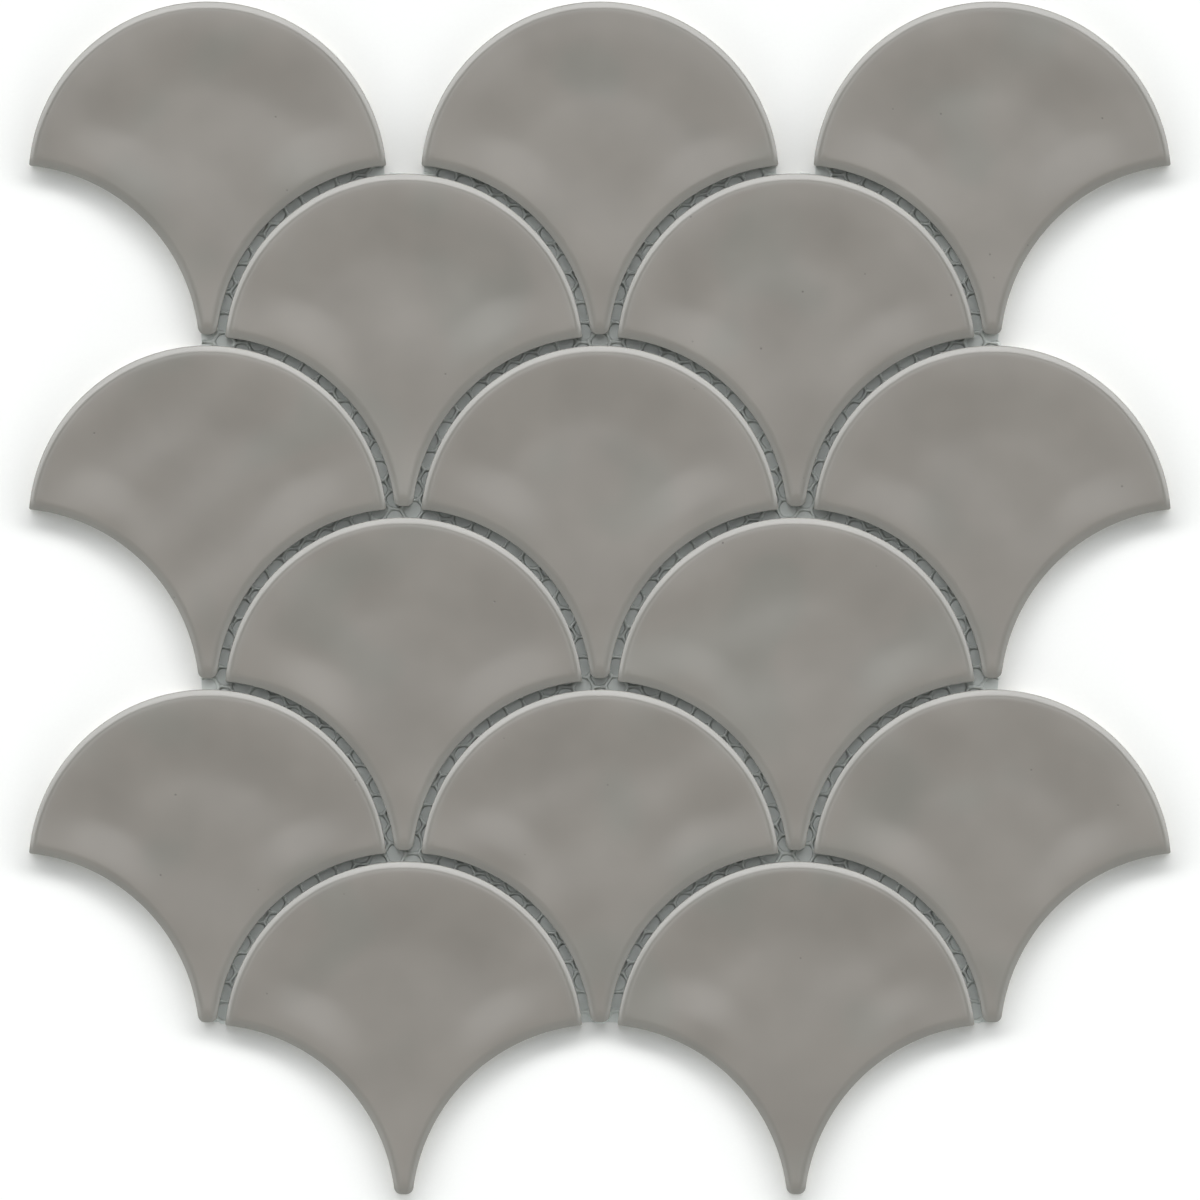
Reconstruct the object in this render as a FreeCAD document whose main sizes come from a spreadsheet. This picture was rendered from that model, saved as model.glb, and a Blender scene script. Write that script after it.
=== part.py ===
import FreeCAD, Part
import math
import os
import Sketcher

# A mosaic sheet of fish scale tiles. Fan-shaped ceramic tiles stand tail down in
# staggered rows, each tail in the hollow between two crowns of the row below, and a
# thin net glued to their backs holds the sheet together.
# Millimetres. The glazed faces look up +Z, the crowns point to +Y, and the origin is
# under the middle of the sheet, on the floor that the net lies on.

SIZES = {
    # Outline of one tile
    "crown_radius": 40.0,  # the round top
    "joint_width": 2.0,  # between a crown and the hollow flank that it fits
    "tail_neck": 3.6,  # width of a tail where the crowns beside it are widest
    "row_pitch": 38.4,  # from one row of crowns to the next
    "tail_gap": 2.5,  # between a tail's end and the crown two rows below
    "tail_round": 1.3,  # corner radius of a tail's end
    # Section of one tile
    "tile_thickness": 6.0,
    "edge_bevel": 0.9,  # eased edge round the glazed face
    # Net under the tiles
    "net_thickness": 0.4,
    "net_inset": 0.5,  # how far the net stops inside the outer tiles' edges
}

# Rows from the top down: full rows and, half a column along, rows with one tile fewer
ROW_COUNT = 6
FULL_ROW = ("left", "middle", "right")
SHORT_ROW = ("left", "right")

# Lengths that follow from the sizes. A flank is the hollow that the crown of the next
# tile fits into with one joint to spare, and a tail ends one gap short of the crown two
# rows below it. The top row's place puts the middle of the sheet on the origin.
LAYOUT = {
    "flank_radius": "Sizes.crown_radius + Sizes.joint_width",
    "column_pitch": "2 * flank_radius + Sizes.tail_neck",
    "tail_length": "2 * Sizes.row_pitch - Sizes.crown_radius - Sizes.tail_gap",
    "top_row": f"({ROW_COUNT - 1} * Sizes.row_pitch + tail_length - Sizes.crown_radius) / 2",
}

# Outlines grown by this share of the widest joint overlap, which closes every joint
NET_OVERLAP = 0.75
# Tails point at crowns this many rows away, and there the net is trimmed a little further
TAIL_REACH = 2
TAIL_TRIM = 0.1

UP = FreeCAD.Vector(0, 0, 1)


def row_places(row):
    """The names of the places along a row, from left to right."""
    return SHORT_ROW if row % 2 else FULL_ROW


def row_columns(row):
    """The same places, counted in columns from the middle of the sheet."""
    count = len(row_places(row))
    return [number - (count - 1) / 2 for number in range(count)]


def add_sizes(document):
    """The spreadsheet of driving sizes, and the lengths worked out from it."""
    sheet = document.addObject("Spreadsheet::Sheet", "Sizes")
    for line, (name, value) in enumerate(SIZES.items(), start=1):
        sheet.set(f"A{line}", name)
        sheet.set(f"B{line}", str(value))
        sheet.setAlias(f"B{line}", name)
    document.recompute()
    layout = document.addObject("App::VarSet", "Layout")
    for name, formula in LAYOUT.items():
        layout.addProperty("App::PropertyFloat", name, "Layout")
        layout.setExpression(name, formula)
        document.recompute()
    return sheet, layout


def fan_outline(sheet, layout, grow=0.0):
    """Crown, right flank, tail end and left flank of a tile, moved outwards by grow."""
    crown = sheet.crown_radius + grow
    flank = layout.flank_radius - grow
    tail = layout.tail_length + grow
    half_pitch = layout.column_pitch / 2
    apart = math.hypot(half_pitch, sheet.row_pitch)
    # The corner is the upper crossing of the crown's circle and the flank's
    along = (crown ** 2 - flank ** 2 + apart ** 2) / (2 * apart)
    aside = math.sqrt(crown ** 2 - along ** 2)
    corner_x = (along * half_pitch + aside * sheet.row_pitch) / apart
    corner_y = (aside * half_pitch - along * sheet.row_pitch) / apart
    crown_start = math.atan2(corner_y, corner_x)
    flank_start = math.atan2(corner_y + sheet.row_pitch, corner_x - half_pitch)
    flank_end = math.pi - math.asin((sheet.row_pitch - tail) / flank)
    tail_x = half_pitch + flank * math.cos(flank_end)

    middle = FreeCAD.Vector(0, 0, 0)
    right = FreeCAD.Vector(half_pitch, -sheet.row_pitch, 0)
    left = FreeCAD.Vector(-half_pitch, -sheet.row_pitch, 0)
    return (
        Part.ArcOfCircle(Part.Circle(middle, UP, crown), crown_start, math.pi - crown_start),
        Part.ArcOfCircle(Part.Circle(right, UP, flank), flank_start, flank_end),
        Part.LineSegment(FreeCAD.Vector(tail_x, -tail, 0), FreeCAD.Vector(-tail_x, -tail, 0)),
        Part.ArcOfCircle(Part.Circle(left, UP, flank), math.pi - flank_end, math.pi - flank_start),
    )


def base_plane(body):
    """The body's own horizontal plane."""
    return next(plane for plane in body.Origin.OriginFeatures if plane.Role == "XY_Plane")


def add_outline_sketch(body, sheet, layout):
    """The fan, constrained to its crown, the two crowns beside its tail and its tail end."""
    sketch = body.newObject("Sketcher::SketchObject", body.Name + "_outline")
    sketch.AttachmentSupport = [(base_plane(body), "")]
    sketch.MapMode = "FlatFace"
    crown, right, tail, left = sketch.addGeometry(list(fan_outline(sheet, layout)))
    origin, start, end, centre, vertical_axis = -1, 1, 2, 3, -2
    sketch.addConstraint([
        Sketcher.Constraint("Coincident", crown, centre, origin, start),
        Sketcher.Constraint("Coincident", crown, start, right, start),
        Sketcher.Constraint("Coincident", right, end, tail, start),
        Sketcher.Constraint("Coincident", tail, end, left, start),
        Sketcher.Constraint("Coincident", left, end, crown, end),
        Sketcher.Constraint("Horizontal", tail),
        Sketcher.Constraint("Equal", right, left),
        Sketcher.Constraint("Symmetric", right, centre, left, centre, vertical_axis),
    ])
    dimensions = (
        ("crown_radius", "Sizes.crown_radius",
         Sketcher.Constraint("Radius", crown, sheet.crown_radius)),
        ("flank_radius", "Layout.flank_radius",
         Sketcher.Constraint("Radius", right, layout.flank_radius)),
        ("flank_across", "Layout.column_pitch / 2",
         Sketcher.Constraint("DistanceX", origin, start, right, centre, layout.column_pitch / 2)),
        ("flank_down", "Sizes.row_pitch",
         Sketcher.Constraint("DistanceY", right, centre, origin, start, sheet.row_pitch)),
        ("tail_length", "Layout.tail_length",
         Sketcher.Constraint("DistanceY", tail, start, origin, start, layout.tail_length)),
    )
    for name, formula, constraint in dimensions:
        sketch.renameConstraint(sketch.addConstraint(constraint), name)
        sketch.setExpression("Constraints." + name, formula)
    return sketch


def cut_edges(body, base, kind, name, edge_test, size, formula):
    """A fillet or chamfer on every edge of base that passes the test."""
    feature = body.newObject(kind, body.Name + name)
    edges = [f"Edge{number}" for number, edge in enumerate(base.Shape.Edges, start=1) if edge_test(edge)]
    feature.Base = (base, edges)
    feature.setExpression(size, formula)
    body.Document.recompute()
    if feature.Shape.Volume >= base.Shape.Volume:
        raise RuntimeError(feature.Name + " takes nothing from the tile")
    return feature


def add_tile(document, sheet, layout, name, columns_along, rows_down):
    """One pressed tile: a fan with a rounded tail and an eased edge round its face."""
    body = document.addObject("PartDesign::Body", name)
    body.Label = name
    pressed = body.newObject("PartDesign::Pad", name + "_pressed")
    pressed.Profile = add_outline_sketch(body, sheet, layout)
    pressed.setExpression("Length", "Sizes.tile_thickness")
    document.recompute()

    def is_tail_corner(edge):
        return edge.BoundBox.ZLength > sheet.tile_thickness / 2 and edge.BoundBox.YMax < 0

    def is_face_rim(edge):
        return edge.BoundBox.ZMin > sheet.tile_thickness / 2

    rounded = cut_edges(
        body, pressed, "PartDesign::Fillet", "_tail", is_tail_corner, "Radius", "Sizes.tail_round")
    cut_edges(
        body, rounded, "PartDesign::Chamfer", "_rim", is_face_rim, "Size", "Sizes.edge_bevel")

    body.setExpression("Placement.Base.x", f"{columns_along} * Layout.column_pitch")
    body.setExpression("Placement.Base.y", f"Layout.top_row - {rows_down} * Sizes.row_pitch")
    body.setExpression("Placement.Base.z", "Sizes.net_thickness")
    document.recompute()
    return body


def fan_face(sheet, layout, grow, columns_along, rows_down):
    """The flat outline of the tile at a place in the pattern, moved outwards by grow."""
    edges = [curve.toShape() for curve in fan_outline(sheet, layout, grow)]
    face = Part.Face(Part.Wire(Part.__sortEdges__(edges)))
    across = columns_along * layout.column_pitch
    face.translate(FreeCAD.Vector(across, layout.top_row - rows_down * sheet.row_pitch, 0))
    return face


def add_net(document, sheet, layout):
    """The net: one thin sheet under all the tiles, trimmed clear of the sheets laid around it."""
    overlap = NET_OVERLAP * max(sheet.joint_width, sheet.tail_gap)
    own = []
    around = []
    for row in range(-TAIL_REACH, ROW_COUNT + TAIL_REACH):
        columns = row_columns(row)
        beside = [columns[0] - 1, columns[-1] + 1]
        if 0 <= row < ROW_COUNT:
            own += [fan_face(sheet, layout, overlap, column, row) for column in columns]
        else:
            beside += columns
        tail_meets_crown = row in (-TAIL_REACH, ROW_COUNT + TAIL_REACH - 1)
        gap = sheet.tail_gap + TAIL_TRIM if tail_meets_crown else sheet.joint_width
        around += [fan_face(sheet, layout, gap + sheet.net_inset, column, row) for column in beside]
    joined = own[0].multiFuse(own[1:]).removeSplitter()
    trimmed = Part.Face(joined.Faces[0].OuterWire).cut(around)
    net = document.addObject("Part::Feature", "mesh_backing")
    net.Label = "mesh_backing"
    largest = max(trimmed.Faces, key=lambda face: face.Area)
    net.Shape = largest.extrude(UP * sheet.net_thickness)
    net.Placement = FreeCAD.Placement()
    return net


def check(document, pieces):
    """Stop if any object failed or any piece is not one sound solid."""
    for thing in document.Objects:
        if "Invalid" in thing.State or "Error" in thing.State:
            raise RuntimeError(f"{thing.Label}: {thing.State}")
    for piece in pieces:
        if piece.Shape.isNull() or not piece.Shape.isValid() or len(piece.Shape.Solids) != 1:
            raise RuntimeError(piece.Label + ": not one sound solid")


def main():
    document = FreeCAD.newDocument("fish_scale_sheet")
    sheet, layout = add_sizes(document)
    pieces = [add_net(document, sheet, layout)]
    for row in range(ROW_COUNT):
        for place, column in zip(row_places(row), row_columns(row)):
            pieces.append(add_tile(document, sheet, layout, f"tile_row{row + 1}_{place}", column, row))
    document.recompute()
    check(document, pieces)
    os.makedirs("parts", exist_ok=True)
    for piece in pieces:
        piece.Shape.exportStep(f"parts/{piece.Label}.step")
        print(piece.Label, round(piece.Shape.Volume, 2))


main()
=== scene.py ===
import math
from types import SimpleNamespace

import bmesh
import bpy
import numpy as np
from bpy.props import FloatProperty, FloatVectorProperty, IntProperty, PointerProperty
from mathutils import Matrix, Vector
from mathutils.bvhtree import BVHTree
from mathutils.geometry import delaunay_2d_cdt


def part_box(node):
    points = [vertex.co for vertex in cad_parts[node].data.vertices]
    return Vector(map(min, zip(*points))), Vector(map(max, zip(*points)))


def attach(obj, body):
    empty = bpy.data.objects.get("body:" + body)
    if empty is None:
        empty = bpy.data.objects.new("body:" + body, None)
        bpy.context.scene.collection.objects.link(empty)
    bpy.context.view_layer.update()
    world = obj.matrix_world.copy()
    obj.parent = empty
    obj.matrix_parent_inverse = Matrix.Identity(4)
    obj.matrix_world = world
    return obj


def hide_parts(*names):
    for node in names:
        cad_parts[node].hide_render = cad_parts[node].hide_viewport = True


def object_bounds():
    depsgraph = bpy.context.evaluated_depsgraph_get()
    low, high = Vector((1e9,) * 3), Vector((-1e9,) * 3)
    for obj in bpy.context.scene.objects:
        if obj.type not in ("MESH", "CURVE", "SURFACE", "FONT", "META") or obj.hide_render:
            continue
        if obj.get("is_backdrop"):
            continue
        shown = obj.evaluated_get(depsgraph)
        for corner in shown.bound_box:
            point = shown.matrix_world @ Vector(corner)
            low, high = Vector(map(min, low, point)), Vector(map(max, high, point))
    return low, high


bl_info = {
    "name": "Fish scale mosaic sheet",
    "version": (1, 0, 0),
    "blender": (4, 5, 0),
    "location": "View3D > Sidebar > Mosaic",
    "description": "Glazes the fan tiles of a mosaic sheet, knits the net under them and lights them",
    "category": "Object",
}

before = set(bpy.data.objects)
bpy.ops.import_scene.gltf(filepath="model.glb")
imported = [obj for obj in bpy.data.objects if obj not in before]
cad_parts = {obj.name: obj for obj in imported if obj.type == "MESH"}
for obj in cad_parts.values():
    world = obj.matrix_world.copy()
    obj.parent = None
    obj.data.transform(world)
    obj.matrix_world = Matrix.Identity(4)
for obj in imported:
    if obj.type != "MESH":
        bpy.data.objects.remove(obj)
CAD_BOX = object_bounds()

# Metres. Faces look up +Z, crowns point to +Y.
MM = 0.001
TILE_NODES = sorted(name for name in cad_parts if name.startswith("tile_"))
NET_NODE = "mesh_backing"
BODY = "root"


def linear(hex_code):
    """An sRGB hex colour as linear red, green and blue."""
    channels = [int(hex_code[start:start + 2], 16) / 255 for start in (0, 2, 4)]
    return tuple(c / 12.92 if c <= 0.04045 else ((c + 0.055) / 1.055) ** 2.4 for c in channels)


def smoothstep(value, low, high):
    """0 below low, 1 above high, and an S-curve between."""
    share = np.clip((value - low) / (high - low), 0, 1)
    return share * share * (3 - 2 * share)


def add_node(tree, kind, inputs=None, **settings):
    """Add a node, set its properties, and give its inputs values or other nodes' outputs."""
    node = tree.nodes.new(kind)
    for name, value in settings.items():
        setattr(node, name, value)
    for socket, value in (inputs or {}).items():
        if isinstance(value, bpy.types.NodeSocket):
            tree.links.new(value, node.inputs[socket])
        else:
            node.inputs[socket].default_value = value
    return node


def new_material(name):
    """An empty node material and its tree."""
    material = bpy.data.materials.new(name)
    material.use_nodes = True
    material.node_tree.nodes.clear()
    return material, material.node_tree


def add_piece(name, mesh, location, material, node):
    """Put a finished mesh in the scene in place of a CAD node."""
    mesh.materials.append(material)
    piece = bpy.data.objects.new(name, mesh)
    piece.location = location
    bpy.context.scene.collection.objects.link(piece)
    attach(piece, BODY)
    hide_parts(node)
    return piece


# Settings

class TileSettings(bpy.types.PropertyGroup):
    """Sizes and colours of the tiles."""
    joint_width: FloatProperty(
        name="Joint", description="Gap between a crown and the flank that it fits",
        default=2.0 * MM, unit="LENGTH")
    tail_neck: FloatProperty(
        name="Tail neck", description="Width of a tail between two crowns",
        default=3.6 * MM, unit="LENGTH")
    tail_round: FloatProperty(
        name="Tail corners", description="Corner radius of a tail's end",
        default=1.7 * MM, unit="LENGTH")
    corner_round: FloatProperty(
        name="Shoulder corners", description="Corner radius where a crown meets a flank",
        default=0.4 * MM, unit="LENGTH")
    edge_round: FloatProperty(
        name="Edge", description="Radius of the edge between side and face",
        default=0.1 * MM, unit="LENGTH")
    rim_fall: FloatProperty(
        name="Rim fall", description="How far the face falls off over its rim",
        default=0.615 * MM, unit="LENGTH")
    rim_wide: FloatProperty(
        name="Wide rim", description="Width of the rim along the crown's top and the tail's end",
        default=1.62 * MM, unit="LENGTH")
    rim_narrow: FloatProperty(
        name="Narrow rim", description="Width of the rim along the sides",
        default=0.96 * MM, unit="LENGTH")
    rim_blend: FloatProperty(
        name="Rim blend", description="How softly the rim's slope runs out into the face",
        default=0.2 * MM, unit="LENGTH")
    dish_depth: FloatProperty(
        name="Dish", description="How far the face's middle lies below its rim",
        default=0.56 * MM, unit="LENGTH")
    dish_start: FloatProperty(
        name="Dish starts", description="Distance from the edge where the dish begins",
        default=3.0 * MM, unit="LENGTH")
    dish_crown: FloatProperty(
        name="Dish from the crown", description="Distance from the crown where the dish is at its depth",
        default=20.0 * MM, unit="LENGTH")
    dish_flank: FloatProperty(
        name="Dish from a flank", description="Distance from a flank where the dish is at its depth",
        default=13.0 * MM, unit="LENGTH")
    wing_start: FloatProperty(
        name="Wings start", description="Distance from the tile's axis where its wings begin to rise",
        default=7.0 * MM, unit="LENGTH")
    wing_end: FloatProperty(
        name="Wings", description="Distance from the tile's axis where its wings rise fully to the flank",
        default=21.0 * MM, unit="LENGTH")
    tail_fall: FloatProperty(
        name="Tail fall", description="How far the face falls towards the tail's end",
        default=0.45 * MM, unit="LENGTH")
    tail_fall_length: FloatProperty(
        name="Tail fall length", description="Length of the tail over which the face falls",
        default=15.0 * MM, unit="LENGTH")
    dish_spread: FloatProperty(
        name="Spread", description="How far the dish strays from its place on a tile",
        default=2.0 * MM, unit="LENGTH")
    dish_change: FloatProperty(
        name="Change", description="Share by which the dish is deeper or shallower from tile to tile",
        default=0.25)
    ripple: FloatProperty(
        name="Ripple", description="Height of the slow waves in a fired glaze",
        default=0.18 * MM, unit="LENGTH")
    glaze_line: FloatProperty(
        name="Glaze line", description="Height above the back where the glaze stops",
        default=0.5 * MM, unit="LENGTH")
    seed: IntProperty(name="Seed", description="Start of the tiles' ripples", default=11)
    glaze: FloatVectorProperty(
        name="Glaze", description="Colour of the glaze", subtype="COLOR", default=linear("89857F"))
    deep_glaze: FloatVectorProperty(
        name="Deep glaze", description="Colour of the glaze where it pools", subtype="COLOR",
        default=linear("86847E"))
    # The paler colour along the edges is partly thin glaze and partly a painted highlight on the rims
    thin_glaze_and_highlight: FloatVectorProperty(
        name="Thin glaze", description="Colour of the glaze where it thins along the edges",
        subtype="COLOR", default=linear("8A8984"))
    pale_edge_width: FloatProperty(
        name="Thin glaze width", description="Distance from an edge where the glaze is at its full depth",
        default=3.0 * MM, unit="LENGTH")
    body: FloatVectorProperty(
        name="Body", description="Colour of the fired body", subtype="COLOR", default=linear("D9D3C8"))


class NetSettings(bpy.types.PropertyGroup):
    """Sizes and colour of the net."""
    cell_height: FloatProperty(
        name="Cell", description="Height of a six-sided cell, from thread to thread",
        default=4.4 * MM, unit="LENGTH")
    thread_width: FloatProperty(
        name="Thread", description="Width of a thread", default=0.85 * MM, unit="LENGTH")
    wander: FloatProperty(
        name="Wander", description="How far a knot strays from its place",
        default=0.18 * MM, unit="LENGTH")
    seed: IntProperty(name="Seed", description="Start of the knots' wandering", default=5)
    thread: FloatVectorProperty(
        name="Thread", description="Colour of the threads", subtype="COLOR", default=linear("E2E8E5"))
    film: FloatVectorProperty(
        name="Film", description="Colour of the resin between the threads", subtype="COLOR",
        default=linear("E0E6E4"))


class StageSettings(bpy.types.PropertyGroup):
    """Floor, camera and light."""
    floor_radius: FloatProperty(
        name="Floor", description="Radius of the floor", default=15.0, unit="LENGTH")
    floor: FloatVectorProperty(
        name="Floor", description="Colour of the floor", subtype="COLOR", default=linear("FCFDFC"))
    view_width: FloatProperty(
        name="View", description="Width of the view at the tiles' faces",
        default=267.85 * MM, unit="LENGTH")
    view_x: FloatProperty(
        name="View X", description="Middle of the view across the sheet", default=0.03 * MM, unit="LENGTH")
    view_y: FloatProperty(
        name="View Y", description="Middle of the view along the sheet", default=-0.46 * MM, unit="LENGTH")
    camera_height: FloatProperty(
        name="Camera", description="Height of the camera", default=4.0, unit="LENGTH")
    strip: FloatProperty(
        name="Strip light", description="Brightness of the bowed strip light", default=7.8)
    overhead: FloatProperty(
        name="Overhead light", description="Brightness of the panel overhead", default=1.6)
    surround: FloatProperty(
        name="Surround", description="Brightness of the studio between the lights", default=0.05)
    reflector: FloatProperty(
        name="Reflector", description="Brightness of the low reflector beyond the tails", default=0.6)
    horizon: FloatProperty(
        name="Horizon", description="Brightness of the studio's walls", default=0.81)


# Shape of one tile

# Points along each stretch of a fan's outline
CROWN_POINTS = 132
FLANK_POINTS = 60
CORNER_POINTS = 5
TAIL_POINTS = 8
# Steps round the edge between side and face, and rings of points further in
EDGE_STEPS = 5
RIM_RINGS = (0.3 * MM, 0.55 * MM, 0.8 * MM, 1.0 * MM, 1.2 * MM)
INNER_RINGS = (1.35 * MM, 1.5 * MM, 1.65 * MM, 1.8 * MM, 2.0 * MM, 2.3 * MM, 2.8 * MM, 3.6 * MM)
RING_TOLERANCE = 0.01 * MM
GRID_SPACING = 1.3 * MM
FOOT_BEVEL = 0.25 * MM
# Points nearer than this are one, and edges that turn by more degrees than this stay sharp
MERGE_DISTANCE = 0.001 * MM
SHARP_ANGLE = 40
# Kind of result and smallest gap, in millimetres, when a face is cut into triangles
INSIDE_OUTLINE = 1
TRIANGLE_GAP = 1e-5
# Waves of a glaze's ripple
WAVE_COUNT = 6
WAVE_LENGTHS = (16 * MM, 40 * MM)
# Mesh attribute that tells the glaze how near an edge is
EDGE_DISTANCE = "edge_distance"


def fan_plan(settings):
    """The lengths of a fan, from the places of the CAD tiles and the joints between them."""
    first_low, first_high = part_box("tile_row1_left")
    second_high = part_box("tile_row2_left")[1]
    column_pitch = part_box("tile_row2_right")[1].x - second_high.x
    flank = (column_pitch - settings.tail_neck) / 2
    crown = flank - settings.joint_width
    return SimpleNamespace(
        crown=crown,
        flank=flank,
        half_pitch=column_pitch / 2,
        row_pitch=first_high.y - second_high.y,
        tail=first_high.y - first_low.y - crown,
        thickness=first_high.z - first_low.z,
        tail_round=settings.tail_round,
        corner_round=settings.corner_round,
    )


def arc(centre, radius, start, end, count):
    """Points along an arc of a circle."""
    angles = np.linspace(start, end, count)
    return np.column_stack((centre[0] + radius * np.cos(angles), centre[1] + radius * np.sin(angles)))


def crossing(crown, flank, plan):
    """The upper crossing of a circle round the origin and one round a flank's centre."""
    apart = math.hypot(plan.half_pitch, plan.row_pitch)
    along = (crown ** 2 - flank ** 2 + apart ** 2) / (2 * apart)
    aside = math.sqrt(crown ** 2 - along ** 2)
    return np.array((
        (along * plan.half_pitch + aside * plan.row_pitch) / apart,
        (aside * plan.half_pitch - along * plan.row_pitch) / apart,
    ))


def fan_ring(plan, inset):
    """Points round a fan moved inwards by inset, as many for every inset and anticlockwise."""
    flank_centre = np.array((plan.half_pitch, -plan.row_pitch))
    flank = plan.flank + inset
    crown = plan.crown - inset

    # The corner's round has one centre for every inset, and further in the corner is sharp
    if inset < plan.corner_round:
        corner = crossing(plan.crown - plan.corner_round, plan.flank + plan.corner_round, plan)
        corner_radius = plan.corner_round - inset
    else:
        corner = crossing(crown, flank, plan)
        corner_radius = 0.0
    crown_start = math.atan2(corner[1], corner[0])
    to_corner = corner - flank_centre
    flank_top = math.atan2(to_corner[1], to_corner[0])

    tail_y = plan.tail_round - plan.tail
    tail_rise = tail_y + plan.row_pitch
    tail_x = plan.half_pitch - math.sqrt((plan.flank + plan.tail_round) ** 2 - tail_rise ** 2)
    flank_bottom = math.atan2(tail_rise, tail_x - plan.half_pitch)

    right = np.vstack((
        arc((tail_x, tail_y), plan.tail_round - inset, -math.pi / 2, flank_bottom - math.pi, TAIL_POINTS),
        arc(flank_centre, flank, flank_bottom, flank_top, FLANK_POINTS)[1:],
        arc(corner, corner_radius, flank_top - math.pi, crown_start, CORNER_POINTS)[1:],
    ))
    top = arc((0, 0), crown, crown_start, math.pi - crown_start, CROWN_POINTS)[1:-1]
    left = right[::-1] * (-1, 1)
    return np.vstack((right, top, left))


def edge_distances(plan, points):
    """Distances of points from the crown, the two flanks and the tail's end."""
    x, y = points[:, 0], points[:, 1]
    return (
        plan.crown - np.hypot(x, y),
        np.hypot(x - plan.half_pitch, y + plan.row_pitch) - plan.flank,
        np.hypot(x + plan.half_pitch, y + plan.row_pitch) - plan.flank,
        y + plan.tail,
    )


def edge_headings(plan, points):
    """How squarely the same edges face up or down the sheet: 1 fully, 0 sideways."""
    x, y = points[:, 0], points[:, 1]
    down = np.abs(y + plan.row_pitch)
    return (
        np.abs(y) / np.maximum(np.hypot(x, y), MM),
        down / np.hypot(x - plan.half_pitch, down),
        down / np.hypot(x + plan.half_pitch, down),
        np.ones(len(points)),
    )


def face_points(plan):
    """Points inside the face: rows parallel to its edges, then an even grid."""
    right = (plan.half_pitch, -plan.row_pitch)
    left = (-plan.half_pitch, -plan.row_pitch)
    rows = []
    for inset in INNER_RINGS:
        row = np.vstack((
            arc((0, 0), plan.crown - inset, 0, math.pi, CROWN_POINTS),
            arc(right, plan.flank + inset, math.pi / 2, math.pi, FLANK_POINTS),
            arc(left, plan.flank + inset, 0, math.pi / 2, FLANK_POINTS),
        ))
        rows.append(row[np.min(edge_distances(plan, row), axis=0) > inset - RING_TOLERANCE])
    columns = np.arange(-plan.crown, plan.crown, GRID_SPACING)
    line_spacing = GRID_SPACING * math.sqrt(3) / 2
    lines = np.arange(-plan.tail, plan.crown, line_spacing)
    grid_x, grid_y = np.meshgrid(columns, lines)
    grid_x[1::2] += GRID_SPACING / 2
    grid = np.column_stack((grid_x.ravel(), grid_y.ravel()))
    deepest = INNER_RINGS[-1] + GRID_SPACING / 2
    grid = grid[np.min(edge_distances(plan, grid), axis=0) > deepest]
    return np.vstack((*rows, grid))


def rim_drop(plan, settings, points):
    """How far the glaze falls off towards the edges, over a rim that narrows along the sides."""
    drop = np.zeros(len(points))
    for distance, upright in zip(edge_distances(plan, points), edge_headings(plan, points)):
        width = settings.rim_narrow + (settings.rim_wide - settings.rim_narrow) * upright
        inside = (width - distance) / settings.rim_blend
        drop += settings.rim_fall / width * settings.rim_blend * np.logaddexp(0, inside)
    return drop


def face_drop(plan, settings, number, points):
    """One tile's shallow face: a dish that rises to the crown and the wings, and slow waves."""
    draw = np.random.default_rng(settings.seed + number)
    placed = points + draw.uniform(-settings.dish_spread, settings.dish_spread, 2)
    crown, right, left, tail = edge_distances(plan, placed)
    wing = smoothstep(np.abs(placed[:, 0]), settings.wing_start, settings.wing_end)
    to_flank = 1 - smoothstep(np.minimum(right, left), settings.dish_start, settings.dish_flank)
    dish = smoothstep(crown, settings.dish_start, settings.dish_crown) * (1 - wing * to_flank)
    depth = settings.dish_depth * draw.uniform(1 - settings.dish_change, 1 + settings.dish_change)
    fall = 1 - smoothstep(tail, 0, settings.tail_fall_length)
    waves = np.zeros(len(points))
    for _ in range(WAVE_COUNT):
        heading, phase = draw.uniform(0, 2 * math.pi, 2)
        length = draw.uniform(*WAVE_LENGTHS)
        along = points @ (math.cos(heading), math.sin(heading))
        waves += np.sin(2 * math.pi * along / length + phase)
    return depth * dish + settings.tail_fall * fall + settings.ripple * waves / WAVE_COUNT


def tile_template(plan, settings):
    """Places and faces that every tile shares, and how far each place lies below the face."""
    # From the back up, a ring's inset and either its height or its drop below the face
    levels = []
    for inset, height in ((FOOT_BEVEL, 0.0), (0.0, FOOT_BEVEL), (0.0, settings.glaze_line)):
        levels.append((inset, height, None))
    for step in range(EDGE_STEPS):
        turn = step / (EDGE_STEPS - 1) * math.pi / 2
        inset = settings.edge_round * (1 - math.cos(turn))
        levels.append((inset, None, settings.edge_round * (1 - math.sin(turn))))
    for inset in RIM_RINGS:
        levels.append((inset, None, 0.0))

    rings = [fan_ring(plan, inset) for inset, _, _ in levels]
    count = len(rings[0])
    inner = face_points(plan)
    points = np.vstack((*rings, inner))

    faces = [tuple(range(count - 1, -1, -1))]
    for level in range(len(levels) - 1):
        low, high = level * count, (level + 1) * count
        for here in range(count):
            there = (here + 1) % count
            faces.append((low + here, low + there, high + there, high + here))
    last = (len(levels) - 1) * count
    flat = [Vector(point) / MM for point in points[last:]]
    outline = [list(range(count))]
    _, _, triangles, sources, _, _ = delaunay_2d_cdt(flat, [], outline, INSIDE_OUTLINE, TRIANGLE_GAP)
    for triangle in triangles:
        faces.append(tuple(last + sources[corner][0] for corner in triangle))

    fixed = np.full(len(points), np.nan)
    below = np.zeros(len(points))
    for level, (_, height, drop) in enumerate(levels):
        part = slice(level * count, (level + 1) * count)
        if height is None:
            below[part] = drop
        else:
            fixed[part] = height
    return points, faces, fixed, below + rim_drop(plan, settings, points)


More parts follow.
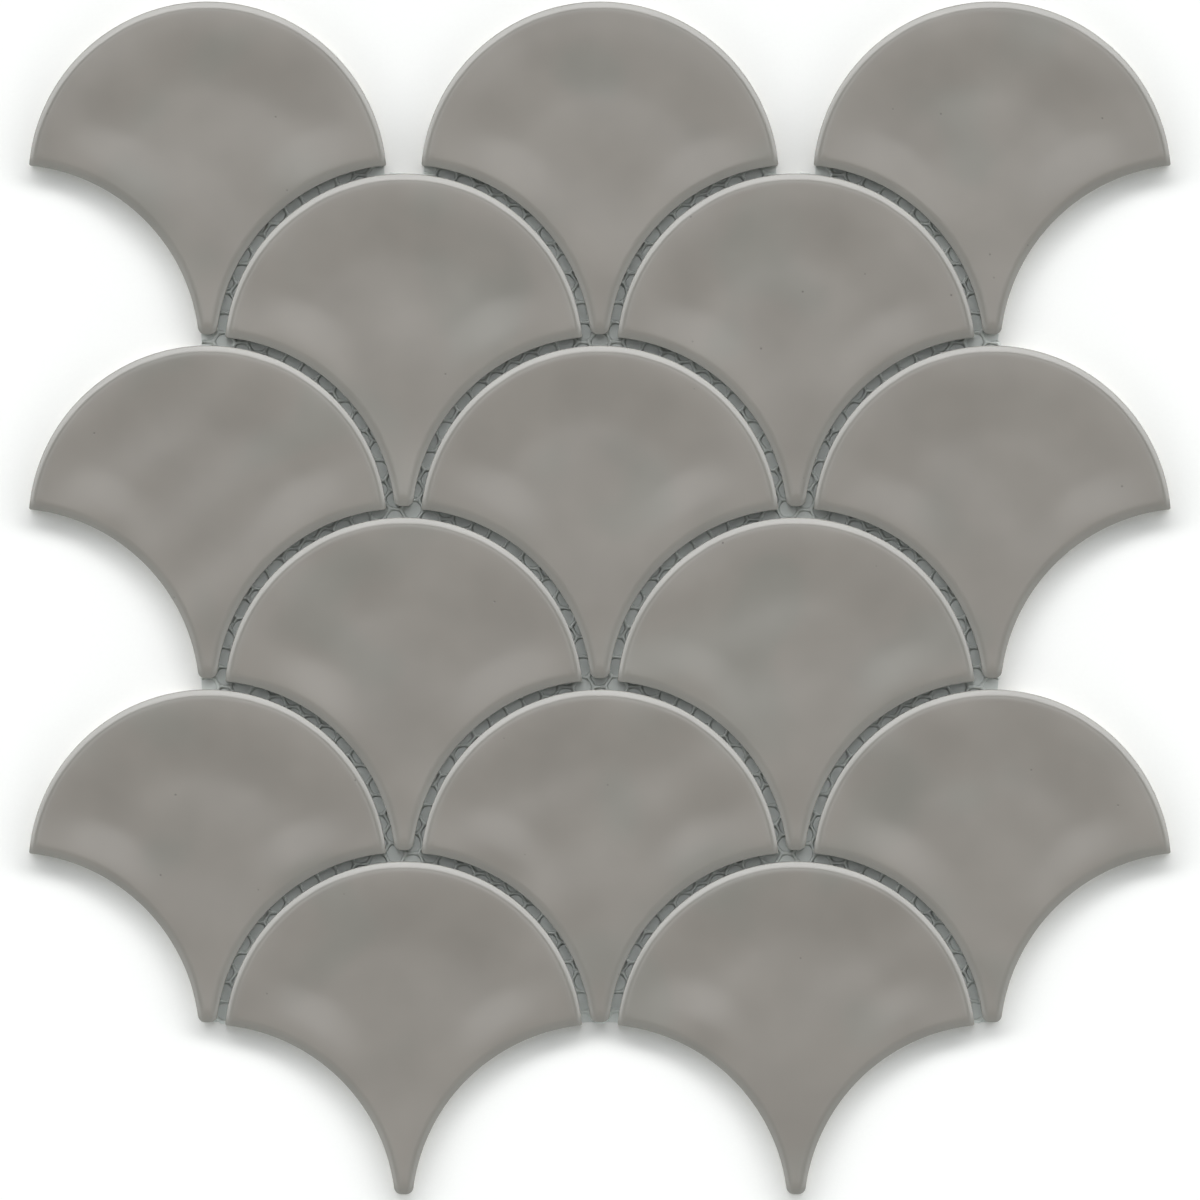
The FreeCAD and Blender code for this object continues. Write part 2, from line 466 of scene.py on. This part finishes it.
def tile_mesh(name, number, plan, settings, template):
    """One tile's mesh, with its own ripple in the glaze."""
    points, faces, fixed, drop = template
    drop = drop + face_drop(plan, settings, number, points)
    heights = plan.thickness - drop + drop.min()
    heights = np.where(np.isnan(fixed), heights, fixed)
    mesh = bpy.data.meshes.new(name)
    mesh.from_pydata(np.column_stack((points, heights)).tolist(), [], faces)
    distances = mesh.attributes.new(EDGE_DISTANCE, "FLOAT", "POINT")
    distances.data.foreach_set("value", np.min(edge_distances(plan, points), axis=0))
    shape = bmesh.new()
    shape.from_mesh(mesh)
    bmesh.ops.remove_doubles(shape, verts=shape.verts, dist=MERGE_DISTANCE)
    shape.to_mesh(mesh)
    shape.free()
    mesh.shade_smooth()
    mesh.set_sharp_from_angle(angle=math.radians(SHARP_ANGLE))
    return mesh


# Net

# Shares of a thread's half width: its foot, its waist between knots and its spread at a knot
THREAD_FOOT = 0.35
WAIST = 0.85
KNOT_SPREAD = 1.3
# Share of a thread's height at which it is widest
THREAD_BELLY = 0.5
# Sine of half the sharpest turn that the corners of a knot follow
SHARPEST_TURN = 0.5
# Halvings that find where a thread meets the outline, and how far above the net a point is tested from
OUTLINE_STEPS = 14
TEST_HEIGHT = 1.0
# A thread that is cut off right at its knot counts as this long
SHORTEST_THREAD = 1e-6 * MM
# Resin film that closes the cells
FILM_BOTTOM = 0.03 * MM
FILM_TOP = 0.08 * MM


def net_outline_test():
    """A test of whether a point lies over the CAD net."""
    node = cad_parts[NET_NODE]
    tree = BVHTree.FromPolygons(
        [vertex.co for vertex in node.data.vertices], [face.vertices for face in node.data.polygons])
    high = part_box(NET_NODE)[1].z + TEST_HEIGHT

    def inside(point):
        return tree.ray_cast(Vector((*point, high)), Vector((0, 0, -1)))[0] is not None

    return inside


def net_graph(settings):
    """Knots and threads of a six-sided net, cut off where the CAD net ends."""
    inside = net_outline_test()
    draw = np.random.default_rng(settings.seed)
    low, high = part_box(NET_NODE)
    half_height = settings.cell_height / 2
    half_side = settings.cell_height / math.sqrt(3) / 2
    across = int((high.x - low.x) / (3 * half_side)) + 2
    along = int((high.y - low.y) / settings.cell_height) + 2
    middle = (low + high) / 2

    # Knots are counted in half sides across and half heights along, so that cells share them
    threads = set()
    for column in range(-across, across + 1):
        for row in range(-along, along + 1):
            x, y = 3 * column, 2 * row + column % 2
            upper_half = ((x + 2, y), (x + 1, y + 1), (x - 1, y + 1), (x - 2, y))
            threads.update(tuple(sorted(pair)) for pair in zip(upper_half, upper_half[1:]))
    knots = {}
    for place in sorted({place for thread in threads for place in thread}):
        stray = draw.uniform(-settings.wander, settings.wander, 2)
        home = (middle.x + place[0] * half_side, middle.y + place[1] * half_height)
        knots[place] = np.array(home) + stray
    within = {place: inside(point) for place, point in knots.items()}

    points = []
    number = {}
    kept = []
    for first, second in sorted(threads):
        if not (within[first] or within[second]):
            continue
        ends = []
        for place, other in ((first, second), (second, first)):
            if within[place]:
                if place not in number:
                    number[place] = len(points)
                    points.append(knots[place])
                ends.append(number[place])
            else:
                near, far = knots[other], knots[place]
                for _ in range(OUTLINE_STEPS):
                    halfway = (near + far) / 2
                    if inside(halfway):
                        near = halfway
                    else:
                        far = halfway
                ends.append(len(points))
                points.append(near)
        kept.append(tuple(ends))
    return np.array(points), kept


def threads_around(points, threads):
    """For each knot, the headings and numbers of its threads, anticlockwise."""
    headings = {number: [] for number in range(len(points))}
    for number, (first, second) in enumerate(threads):
        run = points[second] - points[first]
        headings[first].append((math.atan2(run[1], run[0]), number))
        headings[second].append((math.atan2(-run[1], -run[0]), number))
    return {knot: sorted(around) for knot, around in headings.items()}


def film_shape(floor, middle_height, first):
    """Vertices and faces of the resin film: the CAD net pressed thin, its vertices numbered from first."""
    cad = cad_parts[NET_NODE].data
    vertices = []
    for vertex in cad.vertices:
        height = FILM_TOP if vertex.co.z > middle_height else FILM_BOTTOM
        vertices.append((vertex.co.x, vertex.co.y, floor + height))
    faces = [tuple(first + corner for corner in face.vertices) for face in cad.polygons]
    return vertices, faces


def net_mesh(settings):
    """The net: round-backed threads that widen into their knots, and the film between them."""
    points, threads = net_graph(settings)
    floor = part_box(NET_NODE)[0].z
    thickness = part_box(NET_NODE)[1].z - floor
    half_width = settings.thread_width / 2
    vertices = []
    faces = []

    def add(point, height):
        vertices.append((*point, floor + height))
        return len(vertices) - 1

    # Each knot has a crest and, between neighbouring threads, a foot and a belly
    def flank_pair(point, offset):
        foot = add(point + THREAD_FOOT * offset, 0.0)
        belly = add(point + offset, THREAD_BELLY * thickness)
        return foot, belly

    ends = {}
    for knot, around in threads_around(points, threads).items():
        point = points[knot]
        crest = add(point, thickness)
        if len(around) == 1:
            heading, thread = around[0]
            side = half_width * np.array((-math.sin(heading), math.cos(heading)))
            left, right = flank_pair(point, side), flank_pair(point, -side)
            ends[thread, knot] = (left, crest, right)
            faces.append((left[0], left[1], crest, right[1], right[0]))
            continue
        corners = []
        for place, (heading, _) in enumerate(around):
            turn = (around[(place + 1) % len(around)][0] - heading) % (2 * math.pi)
            bisector = heading + turn / 2
            reach = KNOT_SPREAD * half_width / max(math.sin(turn / 2), SHARPEST_TURN)
            corners.append(flank_pair(point, reach * np.array((math.cos(bisector), math.sin(bisector)))))
        for place, (_, thread) in enumerate(around):
            ends[thread, knot] = (corners[place], crest, corners[place - 1])
        if len(corners) > 2:
            faces.append(tuple(corner[0] for corner in reversed(corners)))

    for number, (first, second) in enumerate(threads):
        run = points[second] - points[first]
        middle = (points[first] + points[second]) / 2
        side = WAIST * half_width * np.array((-run[1], run[0])) / max(np.hypot(*run), SHORTEST_THREAD)
        waist = (flank_pair(middle, side), add(middle, thickness), flank_pair(middle, -side))
        near = ends[number, first]
        far_left, far_crest, far_right = ends[number, second]
        far = (far_right, far_crest, far_left)
        for start, end in ((near, waist), (waist, far)):
            section = (start[0][0], start[0][1], start[1], start[2][1], start[2][0])
            onward = (end[0][0], end[0][1], end[1], end[2][1], end[2][0])
            for here in range(len(section)):
                there = (here + 1) % len(section)
                faces.append((section[here], section[there], onward[there], onward[here]))

    film_vertices, film_faces = film_shape(floor, floor + thickness / 2, len(vertices))
    mesh = bpy.data.meshes.new("net_threads")
    mesh.from_pydata(vertices + film_vertices, [], faces + film_faces)
    mesh.validate()
    smooth = np.arange(len(mesh.polygons)) < len(faces)
    mesh.polygons.foreach_set("use_smooth", smooth)
    return mesh


# Materials

# Nearly all of a noise texture lies between these
NOISE_LOW = 0.3
NOISE_HIGH = 0.7
# Sockets of a colour mix: its factor, its two colours and its result
MIX_FACTOR = 0
MIX_FIRST = 6
MIX_SECOND = 7
MIX_RESULT = 2


def glazed_porcelain(settings):
    """Porcelain, dry pressed and fired under a poured gloss glaze.

    The glaze gives a clear soft gloss with a faint cloudiness and a few pinholes, darkened inside with
    painted shade. Where it pools it is cooler, and along the edges it turns paler, partly where it thins
    and partly as a painted highlight on the rims. Below its wavy lower end the bare body shows, pale and
    dry.
    """
    material, tree = new_material("glazed_porcelain")
    local = add_node(tree, "ShaderNodeTexCoord").outputs["Object"]
    place = add_node(tree, "ShaderNodeNewGeometry").outputs["Position"]

    cloud_size = 16 * MM
    cloud_change = 0.05
    cloud = add_node(tree, "ShaderNodeTexNoise", {"Vector": place, "Scale": 1 / cloud_size, "Detail": 2.0})
    shade = add_node(tree, "ShaderNodeMapRange", {
        "Value": cloud.outputs["Fac"], "From Min": NOISE_LOW, "From Max": NOISE_HIGH,
        "To Min": 1 - cloud_change, "To Max": 1 + cloud_change})

    # Pinholes are nearer a quarter of a millimetre, and drawn this large they just show; their pits are
    # darkened with painted shade
    pinhole_size = 0.35 * MM
    pinhole_spacing = 8 * MM
    pinhole_depth = 0.05 * MM
    pinhole_painted_shade = 0.4
    cells = add_node(tree, "ShaderNodeTexVoronoi", {"Vector": place, "Scale": 1 / pinhole_spacing})
    pit = add_node(tree, "ShaderNodeMapRange", {
        "Value": cells.outputs["Distance"], "From Min": 0.0, "From Max": pinhole_size / pinhole_spacing,
        "To Min": -1.0, "To Max": 0.0}, interpolation_type="SMOOTHSTEP")
    # Painted shade: the colour is darkened inside each pinhole's pit
    pinhole_shade = add_node(tree, "ShaderNodeMath", {
        0: pit.outputs["Result"], 1: pinhole_painted_shade, 2: 1.0}, operation="MULTIPLY_ADD")
    tone = add_node(tree, "ShaderNodeMath", {
        0: shade.outputs["Result"], 1: pinhole_shade.outputs[0]}, operation="MULTIPLY")

    # It pools in places, and along the edges it is paler: partly thinner glaze, partly a painted highlight
    # on the rims
    pool_size = 24 * MM
    pool_start = 0.54
    pools = add_node(tree, "ShaderNodeTexNoise", {"Vector": place, "Scale": 1 / pool_size, "Detail": 1.0})
    pooled = add_node(tree, "ShaderNodeMapRange", {
        "Value": pools.outputs["Fac"], "From Min": pool_start, "From Max": NOISE_HIGH},
        interpolation_type="SMOOTHSTEP")
    face = add_node(tree, "ShaderNodeMix", {
        MIX_FACTOR: pooled.outputs["Result"], MIX_FIRST: (*settings.glaze, 1.0),
        MIX_SECOND: (*settings.deep_glaze, 1.0)}, data_type="RGBA")
    edge = add_node(tree, "ShaderNodeAttribute", attribute_name=EDGE_DISTANCE)
    full = add_node(tree, "ShaderNodeMapRange", {
        "Value": edge.outputs["Fac"], "From Min": 0.0, "From Max": settings.pale_edge_width},
        interpolation_type="SMOOTHSTEP")
    # Painted highlight, in part: the colour turns paler towards every edge, besides the glaze thinning
    # there
    glaze = add_node(tree, "ShaderNodeMix", {
        MIX_FACTOR: full.outputs["Result"], MIX_FIRST: (*settings.thin_glaze_and_highlight, 1.0),
        MIX_SECOND: face.outputs[MIX_RESULT]}, data_type="RGBA")
    tinted = add_node(tree, "ShaderNodeVectorMath", {
        0: glaze.outputs[MIX_RESULT], "Scale": tone.outputs[0]}, operation="SCALE")

    # The glaze runs to a wavy line on the side
    run_size = 7 * MM
    run_height = 0.6 * MM
    line_softness = 0.06 * MM
    run = add_node(tree, "ShaderNodeTexNoise", {"Vector": place, "Scale": 1 / run_size, "Detail": 1.0})
    wave = add_node(tree, "ShaderNodeMath", {
        0: run.outputs["Fac"], 1: run_height, 2: settings.glaze_line - run_height / 2},
        operation="MULTIPLY_ADD")
    height = add_node(tree, "ShaderNodeSeparateXYZ", {"Vector": local}).outputs["Z"]
    above = add_node(tree, "ShaderNodeMath", {0: height, 1: wave.outputs[0]}, operation="SUBTRACT")
    glazed = add_node(tree, "ShaderNodeMapRange", {
        "Value": above.outputs[0], "From Min": -line_softness, "From Max": line_softness},
        interpolation_type="SMOOTHSTEP").outputs["Result"]

    # Below that line the body is dry and gritty
    grit_size = 0.5 * MM
    grit_depth = 0.05 * MM
    body_roughness = 0.8
    glaze_roughness = 0.16
    glaze_index = 1.6
    grit = add_node(tree, "ShaderNodeTexNoise", {"Vector": place, "Scale": 1 / grit_size, "Detail": 3.0})
    colour = add_node(tree, "ShaderNodeMix", {
        MIX_FACTOR: glazed, MIX_FIRST: (*settings.body, 1.0), MIX_SECOND: tinted.outputs["Vector"]},
        data_type="RGBA")
    roughness = add_node(tree, "ShaderNodeMapRange", {
        "Value": glazed, "To Min": body_roughness, "To Max": glaze_roughness})

    pitted = add_node(tree, "ShaderNodeBump", {
        "Height": pit.outputs["Result"], "Distance": pinhole_depth, "Strength": glazed})
    rough = add_node(tree, "ShaderNodeMath", {0: 1.0, 1: glazed}, operation="SUBTRACT")
    surface = add_node(tree, "ShaderNodeBump", {
        "Height": grit.outputs["Fac"], "Distance": grit_depth, "Strength": rough.outputs[0],
        "Normal": pitted.outputs["Normal"]})

    shader = add_node(tree, "ShaderNodeBsdfPrincipled", {
        "Base Color": colour.outputs[MIX_RESULT], "Roughness": roughness.outputs["Result"],
        "IOR": glaze_index, "Normal": surface.outputs["Normal"]})
    add_node(tree, "ShaderNodeOutputMaterial", {"Surface": shader.outputs["BSDF"]})
    return material


def polyester_net(settings):
    """Polyester net, knitted and stiffened with resin: off-white threads with a plastic shine."""
    material, tree = new_material("polyester_net")
    place = add_node(tree, "ShaderNodeNewGeometry").outputs["Position"]
    # Filaments are finer than this, and drawn this wide they just show
    filament = 0.15 * MM
    filament_depth = 0.03 * MM
    strands = add_node(tree, "ShaderNodeTexNoise", {"Vector": place, "Scale": 1 / filament, "Detail": 2.0})
    # Resin lies thicker in places, which darkens it
    resin_size = 5 * MM
    resin_dark = 0.9
    resin_pale = 1.05
    resin = add_node(tree, "ShaderNodeTexNoise", {"Vector": place, "Scale": 1 / resin_size, "Detail": 1.0})
    shade = add_node(tree, "ShaderNodeMapRange", {
        "Value": resin.outputs["Fac"], "From Min": NOISE_LOW, "From Max": NOISE_HIGH,
        "To Min": resin_dark, "To Max": resin_pale})
    height = add_node(tree, "ShaderNodeSeparateXYZ", {"Vector": place}).outputs["Z"]
    proud = add_node(tree, "ShaderNodeMapRange", {
        "Value": height, "From Min": FILM_TOP, "From Max": 2 * FILM_TOP})
    both = add_node(tree, "ShaderNodeMix", {
        MIX_FACTOR: proud.outputs["Result"], MIX_FIRST: (*settings.film, 1.0),
        MIX_SECOND: (*settings.thread, 1.0)}, data_type="RGBA")
    tinted = add_node(tree, "ShaderNodeVectorMath", {
        0: both.outputs[MIX_RESULT], "Scale": shade.outputs["Result"]}, operation="SCALE")
    bump = add_node(tree, "ShaderNodeBump", {
        "Height": strands.outputs["Fac"], "Distance": filament_depth, "Strength": 0.5})
    shader = add_node(tree, "ShaderNodeBsdfPrincipled", {
        "Base Color": tinted.outputs["Vector"], "Roughness": 0.35, "IOR": 1.57,
        "Normal": bump.outputs["Normal"]})
    add_node(tree, "ShaderNodeOutputMaterial", {"Surface": shader.outputs["BSDF"]})
    return material


def matt_paper(settings):
    """Matt white background paper: even, with no shine."""
    material, tree = new_material("matt_paper")
    place = add_node(tree, "ShaderNodeNewGeometry").outputs["Position"]
    tooth_size = 0.8 * MM
    tooth_change = 0.015
    tooth = add_node(tree, "ShaderNodeTexNoise", {"Vector": place, "Scale": 1 / tooth_size})
    shade = add_node(tree, "ShaderNodeMapRange", {
        "Value": tooth.outputs["Fac"], "To Min": 1 - tooth_change, "To Max": 1 + tooth_change})
    tinted = add_node(tree, "ShaderNodeVectorMath", {
        0: settings.floor, "Scale": shade.outputs["Result"]}, operation="SCALE")
    shader = add_node(tree, "ShaderNodeBsdfPrincipled", {
        "Base Color": tinted.outputs["Vector"], "Roughness": 1.0, "Specular IOR Level": 0.0})
    add_node(tree, "ShaderNodeOutputMaterial", {"Surface": shader.outputs["BSDF"]})
    return material


# Light and camera

def studio_dome(settings):
    """A studio all round: pale walls, a bowed strip light, a low reflector and a panel overhead."""
    world = bpy.data.worlds.new("studio_dome")
    world.use_nodes = True
    tree = world.node_tree
    tree.nodes.clear()
    direction = add_node(tree, "ShaderNodeTexCoord").outputs["Generated"]
    axes = add_node(tree, "ShaderNodeSeparateXYZ", {"Vector": direction})
    along, up = axes.outputs["Y"], axes.outputs["Z"]
    # The strip bows: it lies highest straight ahead of the crowns and lower towards both sides
    bow = 0.56
    ahead = add_node(tree, "ShaderNodeMath", {0: along}, operation="ABSOLUTE").outputs[0]
    aside = add_node(tree, "ShaderNodeMath", {0: axes.outputs["X"]}, operation="ABSOLUTE").outputs[0]
    level = add_node(tree, "ShaderNodeMath", {
        0: ahead, 1: -bow, 2: up}, operation="MULTIPLY_ADD").outputs[0]

    # A light is the product of its fades: what a fade follows, its start and end, and its strength at each
    fades = {
        "walls": ((up, 0.12, 0.42, settings.horizon, settings.surround),),
        "strip": (
            (level, 0.08, 0.37, 0.0, 1.0),
            (level, 0.40, 0.67, 1.0, 0.0),
            (along, -0.75, 1.29, 0.0, settings.strip),
        ),
        "reflector": (
            (up, 0.50, 0.64, 1.0, 0.0),
            (along, -0.70, -0.20, settings.reflector, 0.0),
        ),
        "panel": (
            (up, 0.88, 0.94, 0.0, 1.0),
            (aside, 0.15, 0.35, 1.0, 0.0),
            (along, -0.09, 0.13, 0.0, settings.overhead),
        ),
    }
    lights = {}
    for name, own_fades in fades.items():
        for value, start, end, low, high in own_fades:
            fade = add_node(tree, "ShaderNodeMapRange", {
                "Value": value, "From Min": start, "From Max": end, "To Min": low, "To Max": high},
                interpolation_type="SMOOTHSTEP").outputs["Result"]
            if name in lights:
                fade = add_node(tree, "ShaderNodeMath", {
                    0: lights[name], 1: fade}, operation="MULTIPLY").outputs[0]
            lights[name] = fade
    lamps = add_node(tree, "ShaderNodeMath", {0: lights["strip"], 1: lights["panel"]}, operation="ADD")
    rest = add_node(tree, "ShaderNodeMath", {0: lights["walls"], 1: lights["reflector"]}, operation="ADD")
    lamp_light = add_node(tree, "ShaderNodeBackground", {
        "Color": (*linear("FFFFFF"), 1.0), "Strength": lamps.outputs[0]})
    wall_light = add_node(tree, "ShaderNodeBackground", {
        "Color": (*linear("FBFFFD"), 1.0), "Strength": rest.outputs[0]})
    both = add_node(tree, "ShaderNodeAddShader", {0: lamp_light.outputs[0], 1: wall_light.outputs[0]})
    add_node(tree, "ShaderNodeOutputWorld", {"Surface": both.outputs[0]})
    bpy.context.scene.world = world


FLOOR_SIDES = 96
FLOOR_CLEARANCE = 0.03 * MM
SENSOR_WIDTH = 36.0


def add_floor(settings):
    """The floor that the net lies on."""
    mesh = bpy.data.meshes.new("floor")
    shape = bmesh.new()
    bmesh.ops.create_circle(shape, cap_ends=True, segments=FLOOR_SIDES, radius=settings.floor_radius)
    shape.to_mesh(mesh)
    shape.free()
    mesh.materials.append(matt_paper(settings))
    floor = bpy.data.objects.new("floor", mesh)
    floor.location.z = CAD_BOX[0].z - FLOOR_CLEARANCE
    bpy.context.scene.collection.objects.link(floor)
    floor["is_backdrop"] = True


def add_camera(settings):
    """A long lens straight above the sheet."""
    camera = bpy.data.cameras.new("camera")
    camera.sensor_fit = "HORIZONTAL"
    camera.sensor_width = SENSOR_WIDTH
    distance = settings.camera_height - CAD_BOX[1].z
    camera.lens = SENSOR_WIDTH * distance / settings.view_width
    view = bpy.data.objects.new("camera", camera)
    view.location = (settings.view_x, settings.view_y, settings.camera_height)
    bpy.context.scene.collection.objects.link(view)
    bpy.context.scene.camera = view


# Operators

class MOSAIC_OT_tiles(bpy.types.Operator):
    """Build every glazed tile in the place of its CAD node"""
    bl_idname = "mosaic.tiles"
    bl_label = "Glazed tiles"

    def execute(self, context):
        settings = context.scene.mosaic_tiles
        plan = fan_plan(settings)
        template = tile_template(plan, settings)
        glaze = glazed_porcelain(settings)
        for number, node in enumerate(TILE_NODES):
            low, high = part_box(node)
            location = ((low.x + high.x) / 2, high.y - plan.crown, low.z)
            mesh = tile_mesh(f"{node}_glazed", number, plan, settings, template)
            add_piece(f"{node}_glazed", mesh, location, glaze, node)
        return {"FINISHED"}


class MOSAIC_OT_net(bpy.types.Operator):
    """Knit the net under the tiles in the place of its CAD node"""
    bl_idname = "mosaic.net"
    bl_label = "Net"

    def execute(self, context):
        settings = context.scene.mosaic_net
        add_piece("net_threads", net_mesh(settings), (0, 0, 0), polyester_net(settings), NET_NODE)
        return {"FINISHED"}


class MOSAIC_OT_stage(bpy.types.Operator):
    """Set up the floor, the light and the camera"""
    bl_idname = "mosaic.stage"
    bl_label = "Stage"

    def execute(self, context):
        settings = context.scene.mosaic_stage
        add_floor(settings)
        studio_dome(settings)
        add_camera(settings)
        context.scene.view_settings.view_transform = "Standard"
        return {"FINISHED"}


class MOSAIC_PT_panel(bpy.types.Panel):
    """Steps and settings of the mosaic sheet"""
    bl_idname = "MOSAIC_PT_panel"
    bl_label = "Mosaic sheet"
    bl_space_type = "VIEW_3D"
    bl_region_type = "UI"
    bl_category = "Mosaic"

    def draw(self, context):
        for operator, group in STEPS:
            box = self.layout.box()
            box.operator(operator.bl_idname)
            settings = getattr(context.scene, group)
            for name in settings.__annotations__:
                box.prop(settings, name)


STEPS = (
    (MOSAIC_OT_tiles, "mosaic_tiles"),
    (MOSAIC_OT_net, "mosaic_net"),
    (MOSAIC_OT_stage, "mosaic_stage"),
)
GROUPS = {"mosaic_tiles": TileSettings, "mosaic_net": NetSettings, "mosaic_stage": StageSettings}
CLASSES = (*GROUPS.values(), MOSAIC_OT_tiles, MOSAIC_OT_net, MOSAIC_OT_stage, MOSAIC_PT_panel)


def register():
    for item in CLASSES:
        bpy.utils.register_class(item)
    for name, group in GROUPS.items():
        setattr(bpy.types.Scene, name, PointerProperty(type=group))


def unregister():
    for name in GROUPS:
        delattr(bpy.types.Scene, name)
    for item in reversed(CLASSES):
        bpy.utils.unregister_class(item)


def main():
    register()
    bpy.ops.mosaic.tiles()
    bpy.ops.mosaic.net()
    bpy.ops.mosaic.stage()
    boxes = {"cad": CAD_BOX, "visual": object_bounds()}
    {name: [list(corner) for corner in box] for name, box in boxes.items()}


if __name__ == "__main__":
    main()
